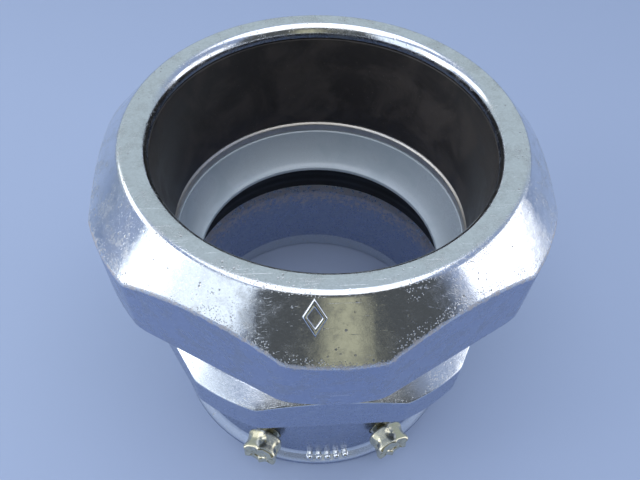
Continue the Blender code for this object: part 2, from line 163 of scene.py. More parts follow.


# Plated steel: clouded plating, turning marks, pits, scratches, worn edges with painted glints, and
# a painted floor reflection on upright faces.
def platingGroup():
    look = platingLook
    group, given, made = newGroup(
        "platingWear",
        [("Millimetres", vectorKind, None), ("Edge", floatKind, 0.0),
         ("Upright", floatKind, 0.0), ("Plating", colorKind, (0.8, 0.82, 0.85, 1)),
         ("Upright Painted Reflection", colorKind, (0.5, 0.55, 0.65, 1)), ("Clouding", colorKind, (0.6, 0.6, 0.6, 1)),
         ("Wear And Painted Glint", colorKind, (0.7, 0.58, 0.48, 1)), ("Cloud Amount", floatKind, 0.6),
         ("Pit Amount", floatKind, 0.5), ("Scratch Amount", floatKind, 0.5),
         ("Lathe Marks", floatKind, 0.3), ("Wear", floatKind, 0.8), ("Ripple", floatKind, 0.03),
         ("Gloss Roughness", floatKind, 0.14), ("Dull Roughness", floatKind, 0.4)],
        [("Color", colorKind), ("Roughness", floatKind), ("Height", floatKind)])
    tree = group
    place = given["Millimetres"]
    axes = addNode(tree, "ShaderNodeSeparateXYZ", {0: place}).outputs
    radius = calc(tree, "SQRT", calc(tree, "ADD", calc(tree, "MULTIPLY", axes[0], axes[0]),
                                     calc(tree, "MULTIPLY", axes[1], axes[1])))
    section = addNode(tree, "ShaderNodeCombineXYZ", {0: radius, 1: axes[2], 2: 0.0}).outputs[0]

    cloud = span(tree, noise(tree, place, look["cloudScale"], 7.0, 0.72, 0.3), *look["cloudSpan"])
    cloud = calc(tree, "MULTIPLY", cloud, given["Cloud Amount"])
    grain = noise(tree, place, look["grainScale"], 3.0, 0.7)
    frost = span(tree, noise(tree, place, look["frostScale"], 6.0, 0.78), *look["frostSpan"])
    crystals = cells(tree, place, look["crystalScale"])["Color"]
    sparkle = addNode(tree, "ShaderNodeSeparateColor", {0: crystals}).outputs[0]

    speck = cells(tree, place, look["pitScale"])[0]
    pitField = noise(tree, place, look["pitFieldScale"], 3.0)
    pits = calc(tree, "MULTIPLY", span(tree, speck, *look["pitSpan"]),
                span(tree, pitField, *look["pitFieldSpan"]))
    fine = cells(tree, place, look["dotScale"])[0]
    grit = calc(tree, "MULTIPLY_ADD", given["Edge"], look["edgeGrit"],
                noise(tree, place, look["gritScale"], 4.0, 0.6))
    dots = calc(tree, "MULTIPLY", span(tree, fine, *look["dotSpan"]),
                span(tree, grit, *look["gritSpan"]))
    pits = calc(tree, "MULTIPLY", calc(tree, "MAXIMUM", pits, dots), given["Pit Amount"])
    pits = calc(tree, "MULTIPLY", pits,
                span(tree, given["Upright"], 0.0, 1.0, 1.0, look["uprightPits"]))

    firstLines = noise(tree, stretched(tree, place, look["firstTurn"], look["firstStretch"]),
                       1.0, 2.0)
    otherLines = noise(tree, stretched(tree, place, look["otherTurn"], look["otherStretch"]),
                       1.0, 2.0)
    lines = calc(tree, "MAXIMUM", span(tree, firstLines, *look["firstSpan"]),
                 span(tree, otherLines, *look["otherSpan"]))
    lines = calc(tree, "MULTIPLY", lines, given["Scratch Amount"])

    turning = noise(tree, section, look["turningScale"], 3.0, 0.7)
    turning = calc(tree, "MULTIPLY", calc(tree, "SUBTRACT", turning, 0.5), given["Lathe Marks"])

    # The worn mask follows the edges: real wear, and on the screw heads' corners a painted glint.
    breakup = calc(tree, "SUBTRACT", noise(tree, place, look["rubScale"], 6.0, 0.75), 0.5)
    wearAndGlint = calc(tree, "ADD", given["Edge"], calc(tree, "MULTIPLY", breakup, look["rubBreakup"]))
    wearAndGlint = calc(tree, "MULTIPLY", span(tree, wearAndGlint, *look["rubSpan"]), given["Wear"])
    wearAndGlint = calc(tree, "MULTIPLY", wearAndGlint, span(tree, given["Edge"], *look["rubEdgeSpan"]))

    # Upright faces take a painted floor reflection colour in place of the plating colour.
    color = blendColors(tree, given["Upright"], given["Plating"], given["Upright Painted Reflection"])
    dulled = blendColors(tree, look["cloudTint"], given["Clouding"], color)
    color = blendColors(tree, cloud, color, dulled)
    shade = span(tree, sparkle, 0.0, 1.0, *look["crystalShade"])
    shade = addNode(tree, "ShaderNodeCombineColor", {0: shade, 1: shade, 2: shade}).outputs[0]
    color = blendColors(tree, 1.0, color, shade, "MULTIPLY")
    for mask, mark in ((frost, "frost"), (pits, "pit"), (lines, "line")):
        amount = calc(tree, "MULTIPLY", mask, look[mark + "Tint"])
        color = blendColors(tree, amount, color, look[mark + "Color"])
    # Worn spots take the worn colour, which on the screw heads is a near-white painted glint.
    color = blendColors(tree, wearAndGlint, color, given["Wear And Painted Glint"])
    tree.links.new(color, made["Color"])

    rough = addNode(tree, "ShaderNodeMix", {0: cloud, 2: given["Gloss Roughness"],
                                            3: given["Dull Roughness"]}).outputs[0]
    rough = calc(tree, "ADD", rough, calc(tree, "MULTIPLY", frost, look["frostRough"]))
    unevenness = calc(tree, "SUBTRACT", grain, 0.5)
    rough = calc(tree, "ADD", rough, calc(tree, "MULTIPLY", unevenness, look["grainRough"]))
    rough = calc(tree, "MULTIPLY_ADD", sparkle, look["crystalRough"], rough)
    rough = calc(tree, "MULTIPLY_ADD", given["Upright"], look["uprightRough"], rough)
    rough = calc(tree, "ADD", rough, calc(tree, "MULTIPLY", pits, look["pitRough"]))
    rough = calc(tree, "ADD", rough, calc(tree, "MULTIPLY", wearAndGlint, look["rubRough"]))
    grooves = calc(tree, "ABSOLUTE", calc(tree, "MULTIPLY", turning, look["turningRough"]))
    rough = calc(tree, "ADD", rough, grooves)
    tree.links.new(calc(tree, "MAXIMUM", rough, look["leastRough"]), made["Roughness"])

    ripple = noise(tree, place, look["rippleScale"], 2.0, 0.4)
    height = calc(tree, "MULTIPLY", ripple, given["Ripple"])
    for mask, mark in ((grain, "grain"), (sparkle, "crystal"), (pits, "pit"), (lines, "line"),
                       (turning, "turning"), (wearAndGlint, "rub")):
        height = calc(tree, "MULTIPLY_ADD", mask, look[mark + "Height"], height)
    tree.links.new(height, made["Height"])
    return group


# How the moulded marks are spread (scales per mm) and how strongly each one shows.
mouldedLook = {
    "flowScale": 0.11, "flowSpan": (0.4, 0.66), "grainScale": 4.0, "grainRough": 0.15,
    "ringScale": 2.2, "ringHeight": 0.02, "speckScale": 0.8, "speckSpan": (0.11, 0.05),
    "filmScale": 0.6, "filmSpan": (0.5, 0.8), "filmTint": 0.35, "filmRough": 0.2,
}


# Moulded plastic or rubber: flow marks, fine grain, dust.
def mouldedGroup():
    look = mouldedLook
    group, given, made = newGroup(
        "mouldedGrain",
        [("Millimetres", vectorKind, None), ("Base", colorKind, (0.02, 0.02, 0.02, 1)),
         ("Variation", colorKind, (0.04, 0.035, 0.03, 1)),
         ("Dust", colorKind, (0.3, 0.28, 0.25, 1)),
         ("Dust Amount", floatKind, 0.2), ("Low Roughness", floatKind, 0.35),
         ("High Roughness", floatKind, 0.55), ("Grain Depth", floatKind, 0.01),
         ("Mould Lines", floatKind, 0.3)],
        [("Color", colorKind), ("Roughness", floatKind), ("Height", floatKind)])
    tree = group
    place = given["Millimetres"]
    axes = addNode(tree, "ShaderNodeSeparateXYZ", {0: place}).outputs
    radius = calc(tree, "SQRT", calc(tree, "ADD", calc(tree, "MULTIPLY", axes[0], axes[0]),
                                     calc(tree, "MULTIPLY", axes[1], axes[1])))
    section = addNode(tree, "ShaderNodeCombineXYZ", {0: radius, 1: axes[2], 2: 0.0}).outputs[0]
    flow = span(tree, noise(tree, place, look["flowScale"], 5.0, 0.6, 0.8), *look["flowSpan"])
    grain = noise(tree, place, look["grainScale"], 4.0, 0.7)
    rings = noise(tree, section, look["ringScale"], 3.0, 0.6)
    specks = span(tree, cells(tree, place, look["speckScale"])[0], *look["speckSpan"])
    specks = calc(tree, "MULTIPLY", specks, given["Dust Amount"])
    film = span(tree, noise(tree, place, look["filmScale"], 6.0, 0.75), *look["filmSpan"])
    film = calc(tree, "MULTIPLY", film, given["Dust Amount"])
    color = blendColors(tree, flow, given["Base"], given["Variation"])
    color = blendColors(tree, calc(tree, "MULTIPLY", film, look["filmTint"]), color, given["Dust"])
    color = blendColors(tree, specks, color, given["Dust"])
    tree.links.new(color, made["Color"])
    rough = addNode(tree, "ShaderNodeMix", {0: flow, 2: given["Low Roughness"],
                                            3: given["High Roughness"]}).outputs[0]
    unevenness = calc(tree, "SUBTRACT", grain, 0.5)
    rough = calc(tree, "ADD", rough, calc(tree, "MULTIPLY", unevenness, look["grainRough"]))
    rough = calc(tree, "ADD", rough, calc(tree, "MULTIPLY", film, look["filmRough"]))
    tree.links.new(rough, made["Roughness"])
    height = calc(tree, "MULTIPLY", grain, given["Grain Depth"])
    rings = calc(tree, "MULTIPLY", rings, given["Mould Lines"])
    lines = calc(tree, "MULTIPLY", rings, look["ringHeight"])
    tree.links.new(calc(tree, "ADD", height, lines), made["Height"])
    return group


plating = platingGroup()
moulded = mouldedGroup()


def startMaterial(name):
    material = bpy.data.materials.new(name)
    material.use_nodes = True
    tree = material.node_tree
    shader = tree.nodes["Principled BSDF"]
    where = addNode(tree, "ShaderNodeTexCoord").outputs["Object"]
    inMillimetres = addNode(tree, "ShaderNodeVectorMath", {0: where, 1: (1000, 1000, 1000)},
                            operation="MULTIPLY").outputs[0]
    return material, tree, shader, inMillimetres


def connectFinish(tree, shader, made):
    tree.links.new(made["Color"], shader.inputs["Base Color"])
    tree.links.new(made["Roughness"], shader.inputs["Roughness"])
    bump = addNode(tree, "ShaderNodeBump", {"Height": made["Height"], "Strength": 1.0,
                                            "Distance": mm})
    tree.links.new(bump.outputs[0], shader.inputs["Normal"])


# Upright faces get a darker painted blue-grey reflection of the floor; the turned faces keep the
# brighter plating colour.
def platedSteel(name, finish, upright=0.0):
    material, tree, shader, place = startMaterial(name)
    edge = addNode(tree, "ShaderNodeAttribute", attribute_name="edge").outputs["Fac"]
    facing = addNode(tree, "ShaderNodeNewGeometry").outputs["Normal"]
    lean = calc(tree, "ABSOLUTE", addNode(tree, "ShaderNodeSeparateXYZ", {0: facing}).outputs[2])
    upright = calc(tree, "MULTIPLY", span(tree, lean, 0.3, 0.12), upright)
    made = placeGroup(tree, plating, {"Millimetres": place, "Edge": edge, "Upright": upright,
                                      **finish})
    shader.inputs["Metallic"].default_value = 1.0
    connectFinish(tree, shader, made)
    return material


def mouldedPlastic(name, finish, sheen=0.0):
    material, tree, shader, place = startMaterial(name)
    made = placeGroup(tree, moulded, {"Millimetres": place, **finish})
    shader.inputs["Specular IOR Level"].default_value = 0.5
    shader.inputs["Sheen Weight"].default_value = sheen
    connectFinish(tree, shader, made)
    return material


# Mesh helpers

# Corners are (radius, height, setback, wear width); a setback of 0 keeps a plain point.
def easeCorners(outline, steps=4):
    section = []
    count = len(outline)
    for i, (radius, height, setback, wear) in enumerate(outline):
        here = Vector((radius, height))
        if setback == 0:
            section.append((here.x, here.y, 0.0))
            continue
        before = Vector(outline[i - 1][:2]) - here
        after = Vector(outline[(i + 1) % count][:2]) - here
        startReach = min(setback, before.length * 0.35)
        endReach = min(setback, after.length * 0.35)
        start = here + before.normalized() * startReach
        end = here + after.normalized() * endReach
        leadIn = here + before.normalized() * max(min(wear, before.length * 0.48), startReach * 1.2)
        leadOut = here + after.normalized() * max(min(wear, after.length * 0.48), endReach * 1.2)
        worn = min(1.0, wear / 2)
        section.append((leadIn.x, leadIn.y, 0.0))
        for k in range(steps + 1):
            t = k / steps
            point = start * (1 - t) ** 2 + here * 2 * t * (1 - t) + end * t ** 2
            section.append((point.x, point.y, worn * (0.7 + 0.3 * math.sin(math.pi * t))))
        section.append((leadOut.x, leadOut.y, 0.0))
    return section


def curvePoints(center, radii, first, last, steps):
    points = []
    for i in range(steps + 1):
        angle = math.radians(first + (last - first) * i / steps)
        points.append((center[0] + radii[0] * math.cos(angle),
                       center[1] + radii[1] * math.sin(angle), 0.0, 0.0))
    return points


# One closed section at each azimuth, stitched round into a solid. Sizes come in mm.
def sweepSections(name, sectionAt, azimuths):
    bm = bmesh.new()
    edgeLayer = bm.verts.layers.float.new("edge")
    rings = []
    for azimuth in azimuths:
        c, s = math.cos(azimuth), math.sin(azimuth)
        ring = []
        for radius, height, edge in sectionAt(azimuth):
            vert = bm.verts.new((radius * c * mm, radius * s * mm, height * mm))
            vert[edgeLayer] = edge
            ring.append(vert)
        rings.append(ring)
    for i, ring in enumerate(rings):
        last = rings[i - 1]
        for j in range(len(ring)):
            bm.faces.new((last[j - 1], ring[j - 1], ring[j], last[j]))
    bmesh.ops.remove_doubles(bm, verts=bm.verts, dist=0.000002)
    bmesh.ops.recalc_face_normals(bm, faces=bm.faces)
    mesh = bpy.data.meshes.new(name)
    bm.to_mesh(mesh)
    bm.free()
    mesh.shade_smooth()
    return mesh


# Cuts long steps of a section into short ones, none taller than the longest step given.
def shortSteps(section, longest):
    cut = []
    for (r, z, e), (nextR, nextZ, nextE) in zip(section, section[1:] + section[:1]):
        count = max(1, math.ceil(abs(nextZ - z) / longest))
        for i in range(count):
            t = i / count
            cut.append((r + (nextR - r) * t, z + (nextZ - z) * t, e + (nextE - e) * t))
    return cut


def evenAzimuths(count):
    return [2 * math.pi * i / count for i in range(count)]


# Even steps all round, and closer ones where a flat meets the round corner land.
def hexAzimuths(firstFlat, apothem, corner, step=2.0):
    halfFlat = math.degrees(math.acos(apothem / corner))
    near = [-2.2, -1.5, -1.0, -0.6, -0.3, 0, 0.3, 0.6, 1.0, 1.5, 2.2]
    angles = set()
    for k in range(6):
        middle = firstFlat + 60 * k
        for side in (-1, 1):
            angles |= {round((middle + side * halfFlat + d) % 360, 3) for d in near}
    even = [i * step for i in range(int(360 / step))]
    angles |= {a for a in even if all(abs(a - b) > step * 0.4 for b in angles)}
    return [math.radians(a) for a in sorted(angles)]


# Radius of a hexagon whose corners are turned off, and how near its edge is (0 to 1).
def hexRadius(azimuth, firstFlat, apothem, corner, soften=0.22):
    off = (math.degrees(azimuth) - firstFlat + 30) % 60 - 30
    flat = apothem / math.cos(math.radians(off))
    overlap = max(soften - abs(flat - corner), 0) / soften
    radius = min(flat, corner) - overlap ** 2 * soften / 4
    halfFlat = math.degrees(math.acos(apothem / corner))
    away = abs(abs(off) - halfFlat) / 57.3 * corner
    return radius, max(0.0, 0.5 - away / 1.4)


def addPiece(name, mesh, material, body, slotName, *replaced):
    piece = bpy.data.objects.new(name, mesh)
    bpy.context.scene.collection.objects.link(piece)
    mesh.materials.clear()
    mesh.materials.append(material)
    even = piece.modifiers.new("evenNormals", "WEIGHTED_NORMAL")
    even.keep_sharp = True
    if body:
        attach(piece, body)
    if replaced:
        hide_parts(*replaced)
    return piece


# Camera, floor and lights

studio = {
    "cameraPlace": (-7.47, -76.22, 134.3), "cameraTurn": -5.6, "cameraTilt": 38.74,
    "cameraRoll": 2.5, "lens": 33.75,
    "floorColor": (0.40, 0.48, 0.66), "floorSize": 3.0,
    "sideColor": (0.30, 0.38, 0.58), "backColor": (0.47, 0.56, 0.62),
    "frontColor": (0.08, 0.088, 0.095), "frontTurn": 10, "frontHalf": 45,
    "patchColor": (0.45, 0.45, 0.33), "patchTurn": 7, "patchHalf": 9,
    # name: azimuth, elevation, distance, width, height, power, colour
    "lights": {
        "leftBox": (-64, 23, 0.52, 0.50, 0.36, 0.46, (0.94, 1.0, 0.96)),
        "leftStrip": (-79, 20, 0.50, 0.12, 0.36, 0.29, (1.0, 0.99, 0.96)),
        "leftBack": (-108, 30, 0.50, 0.26, 0.22, 0.28, (1.0, 0.99, 0.96)),
        "rightBox": (82, 14, 0.50, 0.36, 0.26, 0.46, (1.0, 0.99, 0.96)),
        "overhead": (0, 82, 0.50, 0.54, 0.48, 1.35, (0.96, 0.98, 1.0)),
    },
}


def directionTo(azimuth, elevation):
    a, e = math.radians(azimuth), math.radians(elevation)
    return Vector((math.sin(a) * math.cos(e), -math.cos(a) * math.cos(e), math.sin(e)))


def buildStudio():
    camera = bpy.data.objects.new("camera", bpy.data.cameras.new("camera"))
    bpy.context.scene.collection.objects.link(camera)
    camera.data.lens = studio["lens"]
    camera.data.sensor_width = 36
    camera.data.clip_start = 0.005
    turn = (Matrix.Rotation(math.radians(studio["cameraTurn"]), 4, "Z")
            @ Matrix.Rotation(math.radians(studio["cameraTilt"]), 4, "X")
            @ Matrix.Rotation(math.radians(studio["cameraRoll"]), 4, "Z"))
    camera.matrix_world = Matrix.Translation(Vector(studio["cameraPlace"]) * mm) @ turn
    bpy.context.scene.camera = camera

    half = studio["floorSize"] / 2
    mesh = bpy.data.meshes.new("floor")
    level = cadBox[0].z
    mesh.from_pydata([(-half, -half, level), (half, -half, level), (half, half, level),
                      (-half, half, level)], [], [(0, 1, 2, 3)])
    floor = bpy.data.objects.new("floor", mesh)
    bpy.context.scene.collection.objects.link(floor)
    material = bpy.data.materials.new("paleFloor")
    material.use_nodes = True
    shader = material.node_tree.nodes["Principled BSDF"]
    shader.inputs["Base Color"].default_value = (*studio["floorColor"], 1)
    shader.inputs["Roughness"].default_value = 0.8
    mesh.materials.append(material)

    center = (cadBox[0] + cadBox[1]) / 2
    for name, (azimuth, elevation, away, width, height, power, color) in studio["lights"].items():
        lamp = bpy.data.lights.new(name, "AREA")
        lamp.shape = "RECTANGLE"
        lamp.size = width
        lamp.size_y = height
        lamp.energy = power
        lamp.color = color
        light = bpy.data.objects.new(name, lamp)
        bpy.context.scene.collection.objects.link(light)
        outward = directionTo(azimuth, elevation)
        light.location = center + outward * away
        light.rotation_euler = outward.to_track_quat("Z", "Y").to_euler()

    world = bpy.data.worlds.new("studio")
    world.use_nodes = True
    tree = world.node_tree
    direction = addNode(tree, "ShaderNodeTexCoord").outputs["Generated"]
    axes = addNode(tree, "ShaderNodeSeparateXYZ", {0: direction}).outputs
    steepness = calc(tree, "MULTIPLY", axes[2], axes[2])
    level = calc(tree, "SQRT", calc(tree, "SUBTRACT", 1.0, steepness))

    # 1 inside a wedge of the surroundings turned turnDegrees from the front, 0 outside it.
    def toward(turnDegrees, halfDegrees, soft):
        turn = math.radians(turnDegrees)
        ahead = calc(tree, "SUBTRACT", calc(tree, "MULTIPLY", axes[0], math.sin(turn)),
                     calc(tree, "MULTIPLY", axes[1], math.cos(turn)))
        ahead = calc(tree, "DIVIDE", ahead, calc(tree, "MAXIMUM", level, 0.001))
        border = math.cos(math.radians(halfDegrees))
        return span(tree, ahead, border - soft, border + soft)

    front = calc(tree, "MULTIPLY", toward(studio["frontTurn"], studio["frontHalf"], 0.04),
                 span(tree, axes[2], 0.9, 0.8))
    patch = calc(tree, "MULTIPLY", toward(studio["patchTurn"], studio["patchHalf"], 0.008),
                 span(tree, axes[2], 0.66, 0.5))
    back = span(tree, axes[1], 0.2, 0.6)
    color = blendColors(tree, back, (*studio["sideColor"], 1), (*studio["backColor"], 1))
    color = blendColors(tree, front, color, (*studio["frontColor"], 1))
    color = blendColors(tree, patch, color, (*studio["patchColor"], 1))
    tree.links.new(color, tree.nodes["Background"].inputs["Color"])
    bpy.context.scene.world = world
    bpy.context.scene.view_settings.view_transform = "Standard"
    print("camera, floor and", len(studio["lights"]), "lights made")


buildStudio()


# Cap nut

capNut = {
    "firstFlat": -1.3, "apothem": 37.85, "corner": 40.2,
    "topEdge": 33.2, "chamferDrop": 7.66, "rimInner": 29.0, "rimOuter": 30.9, "rimDrop": 2.2,
    "bore": 34.2, "cavity": 32.6, "lip": 2.5, "reliefDepth": 3.7, "reliefSlope": 1.2,
    "footChamfer": 0.8, "edgeRound": 0.6, "topWear": 0.8, "wearWidth": 3.0,
    "markSide": -3.7, "markDown": 3.3, "markWidth": 2.7, "markLength": 4.0, "markLine": 0.55,
    "markProud": 0.28,
    "finish": {
        # The blue-grey colour for upright faces is a painted reflection of the floor.
        "Plating": (0.83, 0.85, 0.87, 1), "Upright Painted Reflection": (0.34, 0.39, 0.54, 1),
        "Clouding": (0.40, 0.39, 0.36, 1),
        "Wear And Painted Glint": (0.72, 0.64, 0.57, 1), "Cloud Amount": 0.85, "Pit Amount": 0.85,
        "Scratch Amount": 0.6, "Lathe Marks": 0.5, "Wear": 0.9, "Ripple": 0.06,
        "Gloss Roughness": 0.10, "Dull Roughness": 0.30,
    },
}


def buildCapNut():
    low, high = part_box("cap_nut")
    foot, top = low.z / mm, high.z / mm
    underLip = top - capNut["lip"]
    slope = capNut["chamferDrop"] / (capNut["corner"] - capNut["topEdge"])
    ease, wear = capNut["edgeRound"], capNut["wearWidth"]

    def sectionAt(azimuth):
        radius, nearEdge = hexRadius(azimuth, capNut["firstFlat"], capNut["apothem"],
                                     capNut["corner"])
        chamferFoot = top - (radius - capNut["topEdge"]) * slope
        bottomCut = max(0.25, radius - capNut["corner"] + capNut["footChamfer"])
        outline = [
            (capNut["topEdge"], top, ease, capNut["topWear"]),
            (radius, chamferFoot, ease, wear),
            (radius, foot + bottomCut, 0.2, 0.8),
            (radius - bottomCut, foot, 0.2, 0.6),
            (capNut["bore"] + 0.8, foot, 0.15, 0.4),
            (capNut["bore"], foot + 0.8, 0.15, 0.4),
            (capNut["bore"], underLip - capNut["reliefDepth"], 0.2, 0),
            (capNut["cavity"], underLip - capNut["reliefDepth"] + capNut["reliefSlope"], 0.2, 0),
            (capNut["cavity"], underLip, 0.2, 0),
            (capNut["rimInner"], underLip, 0.15, 0.3),
        ]
        outline += curvePoints((capNut["rimOuter"], top - capNut["rimDrop"]),
                               (capNut["rimOuter"] - capNut["rimInner"], capNut["rimDrop"]),
                               180, 90, 10)
        section = easeCorners(outline)
        return [(r, z, max(e, nearEdge if abs(r - radius) < 0.02 else 0.0)) for r, z, e in section]

    azimuths = hexAzimuths(capNut["firstFlat"], capNut["apothem"], capNut["corner"])
    mesh = sweepSections("cap_nut_shell", sectionAt, azimuths)
    material = platedSteel("nutZinc", capNut["finish"], 1.0)
    addPiece("cap_nut_shell", mesh, material, "nut", "nut_zinc", "cap_nut")
    print("cap nut made,", len(mesh.polygons), "faces")
    return top, slope, material


# A raised lozenge outline on the front of the chamfer.
def buildNutMark(top, slope, material):
    c = capNut
    along = Vector((1.0, -slope)).normalized()
    outward = Vector((-along.y, along.x))

    def onChamfer(side, down, proud):
        point = Vector((c["topEdge"], top)) + along * down + outward * proud
        azimuth = -math.pi / 2 + side / point.x
        return (point.x * math.cos(azimuth) * mm, point.x * math.sin(azimuth) * mm, point.y * mm)

    bm = bmesh.new()
    rings = []
    for k in range(4):
        for step in range(8):
            share = step / 8
            ends = [(math.cos(math.pi / 2 * (k + i)), math.sin(math.pi / 2 * (k + i)))
                    for i in (0, 1)]
            across = ends[0][0] * (1 - share) + ends[1][0] * share
            down = ends[0][1] * (1 - share) + ends[1][1] * share
            ring = []
            for grow, proud in ((1, -0.1), (1, 0.7), (0.6, 1), (-0.6, 1), (-1, 0.7), (-1, -0.1)):
                width = c["markWidth"] / 2 + grow * c["markLine"] * 0.6
                length = c["markLength"] / 2 + grow * c["markLine"] * 1.1
                ring.append(bm.verts.new(onChamfer(
                    c["markSide"] + across * width, c["markDown"] + down * length,
                    proud * c["markProud"])))
            rings.append(ring)
    for i, ring in enumerate(rings):
        last = rings[i - 1]
        for j in range(len(ring)):
            bm.faces.new((last[j - 1], ring[j - 1], ring[j], last[j]))
    bmesh.ops.recalc_face_normals(bm, faces=bm.faces)
    mesh = bpy.data.meshes.new("nut_mark")
    bm.to_mesh(mesh)
    bm.free()
    mesh.shade_smooth()
    addPiece("nut_mark", mesh, material, "nut", "nut_zinc")


buildNutMark(*buildCapNut())


# Coupling body

couplingBody = {
    "firstFlat": 30.0, "apothem": 34.9, "corner": 37.3,
    "spigot": 33.0, "spigotBore": 30.6, "spigotMouth": 31.9, "mouthRise": 3.5,
    "collarTop": 36.7, "collarCrest": 38.7, "collarLand": 33.9, "collarFoot": 28.7,
    "shoulder": 32.4, "shoulderFoot": 24.5,
    "socketTop": 22.5, "socketOuter": 31.0, "socketBore": 28.3, "mouthBore": 29.9,
    "mouthDepth": 6.1, "lipOuter": 32.6, "lipTop": 4.2, "lipBand": 2.0, "lipChamfer": 0.8,
    "ledge": 25.1, "ledgeFoot": 23.0, "ledgeBore": 28.9, "groove": 29.8, "grooveTop": 33.6,
    "webBore": 26.0, "seatHeight": 42.3, "throat": 24.6, "bushTop": 43.6,
    "screwHeight": 11.0, "screwAngle": 22.5, "screwHole": 2.8,
    "pips": 5, "pipFirst": -6.0, "pipStep": 3.5, "pipRadius": 31.7, "pipHeight": 3.3,
    "pipSize": (0.8, 0.88, 0.8),
    "finish": {
        # The blue-grey colour for upright faces is a painted reflection of the floor.
        "Plating": (0.82, 0.84, 0.85, 1), "Upright Painted Reflection": (0.34, 0.39, 0.53, 1),
        "Clouding": (0.55, 0.57, 0.58, 1),
        "Wear And Painted Glint": (0.74, 0.64, 0.56, 1), "Cloud Amount": 0.3, "Pit Amount": 0.5,
        "Scratch Amount": 0.4, "Lathe Marks": 0.5, "Wear": 0.8, "Ripple": 0.03,
        "Gloss Roughness": 0.17, "Dull Roughness": 0.30,
    },
}


def buildCouplingBody():
    b = couplingBody
    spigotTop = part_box("coupling_body")[1].z / mm
    slope = (b["collarCrest"] - b["collarTop"]) / (b["corner"] - b["collarLand"])

    def sectionAt(azimuth):
        radius, nearEdge = hexRadius(azimuth, b["firstFlat"], b["apothem"], b["corner"])
        cut = max(0.2, radius - b["corner"] + 0.5)
        outline = [
            (b["spigot"] - 0.6, spigotTop, 0.15, 0.4),
            (b["spigot"], spigotTop - 0.6, 0.15, 0.4),
            (b["spigot"], b["collarCrest"], 0.3, 0),
            (b["collarLand"], b["collarCrest"], 0.2, 0.6),
            (radius, b["collarTop"] + (b["corner"] - radius) * slope, 0.25, 1.6),
            (radius, b["collarFoot"] + cut, 0.2, 1.0),
            (radius - cut, b["collarFoot"], 0.2, 0.8),
            (b["shoulder"], b["collarFoot"], 0.3, 0),
            (b["shoulder"], b["shoulderFoot"], 0.6, 0),
            (b["socketOuter"], b["socketTop"], 0.6, 0),
            (b["socketOuter"], b["lipTop"], 0.7, 0),
            (b["lipOuter"], b["lipBand"], 0.5, 0.9),
            (b["lipOuter"], b["lipChamfer"], 0.3, 0.6),
            (b["lipOuter"] - b["lipChamfer"], 0.0, 0.2, 0.4),
            (b["mouthBore"], 0.0, 0.2, 0.4),
            (b["socketBore"], b["mouthDepth"], 0.4, 0),
            (b["socketBore"], b["ledgeFoot"], 0.4, 0.3),
            (b["ledgeBore"], b["ledge"], 0.3, 0.5),
            (b["groove"], b["ledge"], 0.1, 0),
            (b["groove"], b["grooveTop"], 0.1, 0),
            (b["webBore"], b["grooveTop"], 0.1, 0),
        ]
        seat = curvePoints((b["throat"], b["bushTop"]), (4.8, 9.7), -73.0, -7.7, 6)
        outline += seat
        outline += [
            (b["spigotBore"], b["seatHeight"], 0.1, 0),
            (b["spigotBore"], spigotTop - b["mouthRise"], 0.3, 0),
            (b["spigotMouth"], spigotTop, 0.15, 0),
        ]
        # The socket ledge takes the full worn colour: wear, and a painted highlight line along it.
        ledgeWearAndHighlight = (b["ledgeFoot"] - 0.5, b["ledge"] + 0.1, b["ledgeBore"] + 0.1)
        section = []
        for r, z, e in easeCorners(outline):
            if abs(r - radius) < 0.02:
                e = max(e, nearEdge)
            if ledgeWearAndHighlight[0] < z < ledgeWearAndHighlight[1] and r < ledgeWearAndHighlight[2]:
                e = 1.0
            section.append((r, z, e))
        return section

    azimuths = hexAzimuths(b["firstFlat"], b["apothem"], b["corner"])
    mesh = sweepSections("coupling_body_shell", sectionAt, azimuths)
    material = platedSteel("bodyZinc", b["finish"], 1.0)
    body = addPiece("coupling_body_shell", mesh, material, "body", "body_zinc", "coupling_body")

    middle = (b["socketBore"] + b["socketOuter"]) / 2
    for side, label in ((-1, "left"), (1, "right")):
        cutterMesh = bpy.data.meshes.new(label + "Hole")
        bm = bmesh.new()
        bmesh.ops.create_cone(bm, cap_ends=True, segments=48, radius1=b["screwHole"] * mm,
                              radius2=b["screwHole"] * mm, depth=8 * mm)
        bmesh.ops.rotate(bm, verts=bm.verts, matrix=Matrix.Rotation(math.pi / 2, 3, "Y"))
        bmesh.ops.translate(bm, verts=bm.verts, vec=(middle * mm, 0, 0))
        turn = Matrix.Rotation(math.radians(side * b["screwAngle"] - 90), 3, "Z")
        bmesh.ops.rotate(bm, verts=bm.verts, matrix=turn)
        bmesh.ops.translate(bm, verts=bm.verts, vec=(0, 0, b["screwHeight"] * mm))
        bm.to_mesh(cutterMesh)
        bm.free()
        cutter = bpy.data.objects.new(label + "Hole", cutterMesh)
        bpy.context.scene.collection.objects.link(cutter)
        hole = body.modifiers.new(label + "Hole", "BOOLEAN")
        hole.operation = "DIFFERENCE"
        hole.solver = "EXACT"
        hole.object = cutter
        body.modifiers.move(len(body.modifiers) - 1, 0)
        bpy.context.view_layer.update()
        carved = bpy.data.meshes.new_from_object(
            body.evaluated_get(bpy.context.evaluated_depsgraph_get()))
        body.modifiers.remove(hole)
        body.data = carved
        bpy.data.objects.remove(cutter)
    body.data.name = "coupling_body_shell"
    print("coupling body made,", len(body.data.polygons), "faces")


